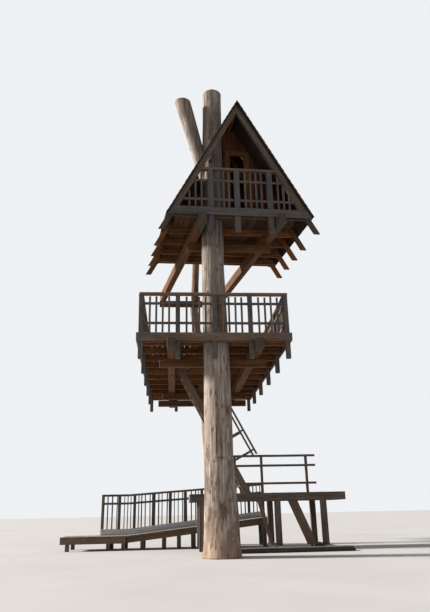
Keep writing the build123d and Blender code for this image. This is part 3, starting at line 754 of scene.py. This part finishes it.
def planks(node, along, across, width, slot, lap=0.0, gap=BOARD_GAP, material=None):
    """A slab node as separate boards that run along a direction, lapped like roof boards if asked."""
    boards = Boards()
    for part in solids(node):
        places = [vertex.co.dot(across) for vertex in part.verts]
        low, high = min(places), max(places)
        count = max(1, round((high - low) / width))
        pitch = (high - low) / count
        for i in range(count):
            strip = part.copy()
            start = low + i * pitch
            end = start + pitch
            if i > 0:
                cut_off(strip, across * (start + gap / 2), -across)
            if i < count - 1:
                cut_off(strip, across * (end - gap / 2), across)
            if not strip.faces:
                strip.free()
                continue
            if lap:
                lap_over(strip, along, lap / pitch)
            boards.take(strip, along, across, edge=THIN_EDGE, wobble=PLANK_WOBBLE)
        part.free()
    boards.build(f"{node}_planks", material or slot, [node])


# Lower platform
dress("lower_bearers", Y, X, "sheltered_timber", edge=BEARER_EDGE, tones=DARKER)
dress("lower_crossbeams", X, Y, "sheltered_timber", edge=HEAVY_EDGE, tones=DARKER)
dress("lower_joists", X, Y, "sheltered_timber")
dress("hatch_headers", Y, X, "sheltered_timber")
planks("lower_decking", Y, X, DECK_BOARD, "decking")
dress("lower_fascia_front", X, Z, "weathered_timber", edge=SIDE_EDGE, tones=BROWN)
dress("lower_fascia_back", X, Z, "weathered_timber", edge=SIDE_EDGE)
dress("lower_fascia_sides", Y, Z, "weathered_timber", edge=SIDE_EDGE)


def bay_centres(left, right):
    """Evenly spaced places for the balusters of one bay."""
    count = max(1, round((right - left) / BALUSTER_PITCH) - 1)
    return [left + (i + 1) * (right - left) / (count + 1) for i in range(count)]


def railing(node, origin, along, inward, posts, end_posts):
    """Posts, top rail, two sub-rails and balusters of one side of the lower platform."""
    boards = Boards()
    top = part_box(node)[1].z
    reach = POST / 2 if end_posts else -POST / 2
    left, right = posts[0] - reach, posts[-1] + reach

    def at(u, v, z):
        return origin + along * u + inward * v + Z * z

    for u in posts if end_posts else posts[1:-1]:
        foot = at(u, POST / 2, STUB_FOOT)
        head = at(u + play(POST_LEAN), POST / 2, top - RAIL_THICK)
        boards.stick(foot, head, along, POST, POST, tones=GREYISH)
    middle = RAIL_DEPTH / 2 - RAIL_LIP
    boards.stick(
        at(left, middle, top - RAIL_THICK / 2), at(right, middle, top - RAIL_THICK / 2),
        inward, RAIL_DEPTH, RAIL_THICK, edge=HEAVY_EDGE, tones=REDDISH,
    )
    rail_back = (POST + SUB_RAIL_THICK + BALUSTER_THICK) / 2
    rail_middle = rail_back - SUB_RAIL_THICK / 2
    for height in LOWER_SUB_RAILS:
        z = LOWER_FLOOR + height + SUB_RAIL_HEIGHT / 2
        boards.stick(
            at(left, rail_middle, z), at(right, rail_middle, z), inward, SUB_RAIL_THICK, SUB_RAIL_HEIGHT,
        )
    bar_middle = rail_back - SUB_RAIL_THICK - BALUSTER_THICK / 2
    low = LOWER_FLOOR + BALUSTER_FOOT_GAP
    high = top - RAIL_THICK - BALUSTER_TOP_GAP
    for first, second in zip(posts, posts[1:]):
        for u in bay_centres(first + POST / 2, second - POST / 2):
            lean = play(BALUSTER_LEAN)
            foot = at(u, bar_middle, low + play(BALUSTER_FOOT_PLAY))
            head = at(u + lean, bar_middle, high + play(BALUSTER_HEAD_PLAY))
            boards.stick(foot, head, along, BALUSTER_WIDTH, BALUSTER_THICK, edge=THIN_EDGE)
    boards.build(f"{node}_timber", "weathered_timber", [node])


fascia_low, fascia_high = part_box("lower_fascia_front")
fascia_thick = fascia_high.y - fascia_low.y
near_y = fascia_high.y
far_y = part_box("lower_fascia_back")[0].y
inner_left = fascia_low.x + fascia_thick
inner_right = fascia_high.x - fascia_thick
front_pitch = (inner_right - inner_left - POST) / FRONT_BAYS
side_pitch = (far_y - near_y - POST) / SIDE_BAYS
front_posts = [inner_left + POST / 2 + i * front_pitch for i in range(FRONT_BAYS + 1)]
side_posts = [near_y + POST / 2 + i * side_pitch for i in range(SIDE_BAYS + 1)]
railing("lower_railing_front", Y * near_y, X, Y, front_posts, True)
railing("lower_railing_back", Y * far_y, X, -Y, front_posts, True)
railing("lower_railing_right", X * inner_right, Y, -X, side_posts, False)
railing("lower_railing_left", X * inner_left, Y, X, side_posts, False)

# Ladder stair
stair = Vector((-1, 0, STAIR_STEEPNESS)).normalized()
dress("stair_stringers", stair, Y, "weathered_timber", tones=REDDISH)
dress("stair_treads", Y, X, "weathered_timber")
dress("stair_handrails", stair, Y, "weathered_timber", edge=SIDE_EDGE)

# Upper platform
dress("upper_bearers", BEARER_RUN, BEARER_RUN.cross(Z), "sheltered_timber", edge=BEARER_EDGE, tones=DARKER)
dress("upper_crossbeams", X, Y, "sheltered_timber", edge=HEAVY_EDGE, tones=DARKER)
dress("upper_joists", ALONG_FRONT, INWARDS, "sheltered_timber")
planks("upper_decking", SIDE_RUN, SIDE_RUN.cross(Z), DECK_BOARD, "decking")
dress("upper_fascia_front", ALONG_FRONT, Z, "weathered_timber", edge=SIDE_EDGE, tones=GREYISH)
dress("upper_fascia_back", ALONG_FRONT, Z, "weathered_timber", edge=SIDE_EDGE)


# A-frame
def roof_side(side, name):
    """Rafters, boards and bargeboards of one slope of the roof, left for a side of -1 and right for 1."""
    up_slope = ALONG_FRONT * -side * cos(PITCH) + Z * sin(PITCH)
    board_run = SIDE_RUN * side
    board_up = board_run.cross(up_slope).cross(board_run).normalized()
    dress(f"rafters_{name}", up_slope, INWARDS, "sheltered_timber")
    planks(
        f"roof_{name}", board_run, board_up, ROOF_BOARD, "roof_boards",
        lap=ROOF_LAP, gap=-ROOF_OVERLAP,
    )
    for end in ("front", "back"):
        node = f"bargeboard_{end}_{name}"
        dress(node, up_slope, INWARDS, "weathered_timber", edge=SIDE_EDGE, tones=BROWN)


roof_side(-1, "left")
roof_side(1, "right")
dress("ridge_board", SIDE_RUN, Z, "sheltered_timber")

# Cabin
for wall in ("cabin_wall_left", "cabin_wall_right", "cabin_wall_over_door", "cabin_back_wall"):
    planks(wall, Z, ALONG_FRONT, WALL_BOARD, "cabin_boards", gap=WALL_BOARD_GAP)
dress("door_frame", Z, ALONG_FRONT, "door_timber")


def under_slope(depth, u):
    """Height of a plane that lies a depth inside the roof's outer face, a distance from the ridge line."""
    return APEX - abs(u) * tan(PITCH) - depth / cos(PITCH)


def balcony():
    """Balcony railing between the front bargeboards."""
    boards = Boards()
    ridge = RIDGE_PLACE - BARGE_FRONT * tan(SIDE_YAW - UPPER_YAW)
    rail_top = UPPER_FLOOR + BALCONY_RAIL
    rail_low = rail_top - RAIL_THICK

    def at(u, v, z):
        return ALONG_FRONT * (ridge + u) + INWARDS * (BARGE_FRONT + v) + Z * z

    inside = []
    for side in (-1, 1):
        up_slope = ALONG_FRONT * -side * cos(PITCH) + Z * sin(PITCH)
        out = (SIDE_RUN * side).cross(up_slope).normalized()
        inside.append((at(0, 0, under_slope(BARGE_INSIDE, 0)), out))
    middle = BALCONY_POST_DEPTH / 2
    for u in BALCONY_POSTS:
        boards.stick(
            at(u, middle, BALCONY_STUB_FOOT), at(u, middle, rail_low), ALONG_FRONT,
            BALCONY_POST_WIDTH, BALCONY_POST_DEPTH, edge=BEAM_EDGE, tones=GREYISH,
        )
    rails = [(0, RAIL_DEPTH, rail_low, rail_top)]
    for height in BALCONY_SUB_RAILS:
        low = UPPER_FLOOR + height
        rails.append((middle, SUB_RAIL_THICK, low, low + SUB_RAIL_HEIGHT))
    for setback, thick, low, high in rails:
        reach = (APEX - low) / tan(PITCH)
        v = setback + thick / 2
        z = (low + high) / 2
        boards.stick(
            at(-reach, v, z), at(reach, v, z), INWARDS, thick, high - low, cuts=inside, tones=REDDISH,
        )
    outer = (APEX - UPPER_FLOOR - BALCONY_SUB_RAILS[0]) / tan(PITCH) - BARGE_INSIDE / sin(PITCH)
    lefts = [-outer, *[u + BALCONY_POST_WIDTH / 2 for u in BALCONY_POSTS]]
    rights = [*[u - BALCONY_POST_WIDTH / 2 for u in BALCONY_POSTS], outer]
    v = middle - BALUSTER_THICK / 2
    foot = UPPER_FLOOR + BALUSTER_FOOT_GAP
    for left, right in zip(lefts, rights):
        for u in bay_centres(left, right):
            head = min(rail_low - BALUSTER_TOP_GAP, under_slope(BARGE_INSIDE, abs(u) + BALUSTER_WIDTH / 2))
            boards.stick(
                at(u, v, foot), at(u, v, head),
                ALONG_FRONT, BALUSTER_WIDTH, BALUSTER_THICK, edge=THIN_EDGE, tones=SILVERED,
            )
    boards.build("balcony_railing_timber", "weathered_timber", ["balcony_railing"])


balcony()

# Low deck and the timbers under it
dress("low_deck_beams", X, Z, "weathered_timber", edge=BEAM_EDGE, tones=BROWN)
dress("low_deck_joists", Y, X, "weathered_timber")
planks("low_deck_boards", Y, X, DECK_BOARD, "decking", material="weathered_timber")
dress("low_deck_posts", Z, X, "weathered_timber", edge=HEAVY_EDGE, tones=BROWN)
dress("low_deck_braces", Z, X, "weathered_timber", tones=REDDISH)
dress("low_deck_railing", X, Z, "weathered_timber", edge=SIDE_EDGE, tones=BROWN)
dress("front_sill", X, Y, "ground_timber", edge=DAMP_EDGE)
dress("sleepers", Y, X, "ground_timber", edge=DAMP_EDGE)

# Ramp and its fence
planks("ramp_boards", Y, X, RAMP_BOARD, "decking", material="weathered_timber")
dress("ramp_beams", X, Z, "weathered_timber", edge=SIDE_EDGE, tones=REDDISH)
dress("ramp_posts", Z, X, "weathered_timber", edge=SIDE_EDGE)


def fence(node, tops, floors, posts):
    """One stretch of the ramp's fence: a kick board, two rails, posts and thin uneven pickets."""
    low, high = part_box(node)
    kick_y = low.y + KICK_BOARD_THICK / 2
    picket_y = low.y + KICK_BOARD_THICK + PICKET_THICK / 2
    rail_y = low.y + KICK_BOARD_THICK + PICKET_THICK + FENCE_RAIL_THICK / 2
    post_y = high.y - FENCE_POST / 2

    def level(ends, x):
        return ends[0] + (ends[1] - ends[0]) * (x - low.x) / (high.x - low.x)

    def lengthwise(piece, ends, rise, y, thick, height, **wear):
        start = Vector((low.x, y, ends[0] + rise))
        end = Vector((high.x, y, ends[1] + rise))
        piece.stick(start, end, Y, thick, height, **wear)

    kick = Boards()
    lengthwise(kick, floors, KICK_BOARD / 2, kick_y, KICK_BOARD_THICK, KICK_BOARD, tones=BROWN)
    kick.build(f"{node}_kick_board", "bleached_timber", [node])
    boards = Boards()
    for drop in (0, FENCE_RAIL_DROP):
        lengthwise(boards, tops, -drop - FENCE_RAIL / 2, rail_y, FENCE_RAIL_THICK, FENCE_RAIL)
    for x in posts:
        foot = Vector((x, post_y, level(floors, x + FENCE_POST / 2)))
        head = Vector((x, post_y, level(tops, x) - FENCE_RAIL / 2))
        boards.stick(foot, head, X, FENCE_POST, FENCE_POST)
    x = low.x + PICKET_PITCH / 2
    while x < high.x - PICKET / 2:
        lean = play(PICKET_LEAN)
        foot = Vector((x, picket_y, level(floors, x + PICKET / 2)))
        top = level(tops, x) - FENCE_RAIL / 2 + random.uniform(*PICKET_HEAD_PLAY)
        head = Vector((x + lean, picket_y, top))
        width = PICKET * random.uniform(*PICKET_WIDTH_SHARES)
        boards.stick(foot, head, X, width, PICKET_THICK, edge=THIN_EDGE, tones=BROWN)
        x += PICKET_PITCH * random.uniform(*PICKET_PITCH_SHARES)
    boards.build(f"{node}_timber", "weathered_timber", [node])


for fence_values in FENCES:
    fence(*fence_values)


# Trunks
def section_at(sections, z):
    """Sideways place and radius of a trunk at a height."""
    for (z0, x0, r0), (z1, x1, r1) in zip(sections, sections[1:]):
        if z <= z1:
            share = (z - z0) / (z1 - z0)
            return x0 + share * (x1 - x0), r0 + share * (r1 - r0)
    return sections[-1][1:]


def bell(distance, width):
    """Smooth hump, 1 at no distance and near 0 beyond its width."""
    return exp(-((distance / width) ** 2))


def scar_relief(angle, z, radius, scars):
    """Raised lip and sunken middle of each branch scar, and how dark it is there."""
    lift = 0.0
    dark = 0.0
    for scar_z, degrees, half_width, half_height in scars:
        turn = (angle - radians(degrees) + pi) % (2 * pi) - pi
        away = hypot(turn * radius / half_width, (z - scar_z) / half_height)
        if away < SCAR_REACH:
            lip = SCAR_LIP_HEIGHT * bell(away - SCAR_LIP_PLACE, SCAR_LIP_WIDTH)
            hollow = SCAR_HOLLOW_DEPTH * bell(away, SCAR_HOLLOW_WIDTH)
            lift += min(half_width, half_height) * (lip - hollow)
            dark = max(dark, SCAR_DARKNESS * bell(away, SCAR_DARK_WIDTH))
    return lift, dark


def bumps(spot, z, seed, scales):
    """Smooth noise on a trunk, at one scale round it and another up it."""
    around, upward = scales
    return noise.noise(spot * around + Z * (z * upward + seed))


def stem(points, faces, bark, sections, y, sides, rough_below, buttress, scars, seed):
    """Add a closed, uneven stem to lists of points, faces and bark cover, and return its top face."""
    low, high = sections[0][0], sections[-1][0]
    rings = ceil((high - low) / TRUNK_RING)
    first = len(points)
    for i in range(rings + 1):
        z = low + (high - low) * i / rings
        x, radius = section_at(sections, z)
        rough = min(1.0, max(FEWEST_FLAKES, (rough_below - z) / rough_below))
        for j in range(sides):
            angle = 2 * pi * j / sides
            across = Vector((cos(angle), sin(angle), 0))
            spot = across * radius
            flake = bumps(spot, z, seed + FLAKE_SHIFT, FLAKES)
            cover = min(1.0, max(0.0, (flake - FLAKE_FROM) * FLAKE_SHARPNESS)) * rough
            relief = BROAD_BUMP_DEPTH * bumps(spot, z, seed, BROAD_BUMPS)
            relief += SMALL_BUMP_DEPTH * bumps(spot, z, seed, SMALL_BUMPS)
            relief += FLAKE_DEPTH * cover
            lobe = 0.5 + 0.5 * cos(BUTTRESS_LOBES * angle + seed)
            relief += buttress * exp(-z / BUTTRESS_HEIGHT) * lobe
            lift, dark = scar_relief(angle, z, radius, scars)
            points.append(Vector((x, y, z)) + across * (radius - SURFACE_INSET + relief + lift))
            bark.append(min(1.0, max(dark, cover * FLAKE_DARKNESS)))
    for i in range(rings):
        for j in range(sides):
            here = first + i * sides + j
            beside = first + i * sides + (j + 1) % sides
            faces.append([here, beside, beside + sides, here + sides])
    faces.append([first + j for j in reversed(range(sides))])
    faces.append([first + rings * sides + j for j in range(sides)])
    return len(faces) - 1


def trunk_piece(name, stems, material, node_names):
    """A trunk made of one or more stems, smooth round its bark and sawn flat at the top."""
    points, faces, bark, ends = [], [], [], []
    for stem_values in stems:
        ends.append(stem(points, faces, bark, **stem_values))
    mesh = bpy.data.meshes.new(name)
    mesh.from_pydata(points, [], faces)
    cover = mesh.attributes.new("bark", "FLOAT", "POINT")
    cover.data.foreach_set("value", bark)
    grain = mesh.attributes.new("grain", "FLOAT_VECTOR", "POINT")
    grain.data.foreach_set("vector", [number for point in points for number in point])
    mesh.materials.append(MATERIALS[material])
    mesh.materials.append(SAWN_END)
    mesh.polygons.foreach_set("use_smooth", [True] * len(faces))
    for index in ends:
        mesh.polygons[index].material_index = 1
        mesh.polygons[index].use_smooth = False
    place_piece(name, mesh, node_names)


trunk_piece(
    "main_trunk_surface",
    [
        dict(
            sections=TRUNK_SECTIONS, y=0.0, sides=TRUNK_SIDES, rough_below=4.8,
            buttress=0.03, scars=SCARS, seed=3.0,
        ),
        dict(
            sections=FORK_SECTIONS, y=0.0, sides=THIN_TRUNK_SIDES, rough_below=1.0,
            buttress=0.0, scars=[], seed=31.0,
        ),
    ],
    "trunk", ["main_trunk"],
)
trunk_piece(
    "rear_trunk_surface",
    [
        dict(
            sections=REAR_TRUNK_SECTIONS, y=REAR_TRUNK_Y, sides=THIN_TRUNK_SIDES, rough_below=9.0,
            buttress=0.02, scars=REAR_SCARS, seed=57.0,
        )
    ],
    "rear_trunk", ["rear_trunk"],
)


# Camera, floor and light
def aim_camera():
    """Camera at the photograph's place and angle."""
    lens = bpy.data.cameras.new("camera")
    lens.sensor_fit = "VERTICAL"
    lens.sensor_height = SENSOR_HEIGHT
    lens.lens = SENSOR_HEIGHT * FOCAL_PIXELS / IMAGE_HEIGHT
    lens.clip_end = CAMERA_REACH
    camera = bpy.data.objects.new("camera", lens)
    scene.collection.objects.link(camera)
    view = Euler((radians(90 + CAMERA_PITCH), 0, -radians(CAMERA_PAN))).to_matrix()
    roll = Matrix.Rotation(radians(CAMERA_ROLL), 3, "Z")
    camera.matrix_world = Matrix.Translation(CAMERA_PLACE) @ (view @ roll).to_4x4()
    scene.camera = camera


def lay_floor():
    """Plain pale floor, far wider than the object."""
    mesh = bpy.data.meshes.new("floor")
    corners = [(x * FLOOR_REACH, y * FLOOR_REACH, 0) for x, y in ((-1, -1), (1, -1), (1, 1), (-1, 1))]
    mesh.from_pydata(corners, [], [(0, 1, 2, 3)])
    look = Look("floor")
    cloud = look.noise(look.place(), scale=0.4, detail=3)
    color = look.ramp(cloud, (0.3, FLOOR_DARK), (0.7, FLOOR_PALE))
    look.put(look.surface.inputs["Base Color"], color)
    look.surface.inputs["Roughness"].default_value = 0.9
    mesh.materials.append(look.material)
    floor_piece = bpy.data.objects.new("floor", mesh)
    scene.collection.objects.link(floor_piece)


def light_surround():
    """Pale surround, which the camera sees brighter than it lights the object."""
    world = bpy.data.worlds.new("studio")
    scene.world = world
    world.use_nodes = True
    tree = world.node_tree
    fill = tree.nodes["Background"]
    fill.inputs["Color"].default_value = FILL_COLOR
    fill.inputs["Strength"].default_value = FILL_STRENGTH
    backdrop = tree.nodes.new("ShaderNodeBackground")
    backdrop.inputs["Color"].default_value = BACKDROP_COLOR
    path = tree.nodes.new("ShaderNodeLightPath")
    choose = tree.nodes.new("ShaderNodeMixShader")
    tree.links.new(path.outputs["Is Camera Ray"], choose.inputs[0])
    tree.links.new(fill.outputs[0], choose.inputs[1])
    tree.links.new(backdrop.outputs[0], choose.inputs[2])
    tree.links.new(choose.outputs[0], tree.nodes["World Output"].inputs["Surface"])


def light_sun():
    """Soft sun from the left and a little behind."""
    sun = bpy.data.lights.new("key", "SUN")
    sun.energy = SUN_ENERGY
    sun.angle = SUN_ANGLE
    sun.color = SUN_COLOR
    lamp = bpy.data.objects.new("key", sun)
    scene.collection.objects.link(lamp)
    lamp.rotation_euler = SUN_TRAVEL.to_track_quat("-Z", "Y").to_euler()


aim_camera()
lay_floor()
light_surround()
light_sun()
scene.view_settings.view_transform = "Standard"
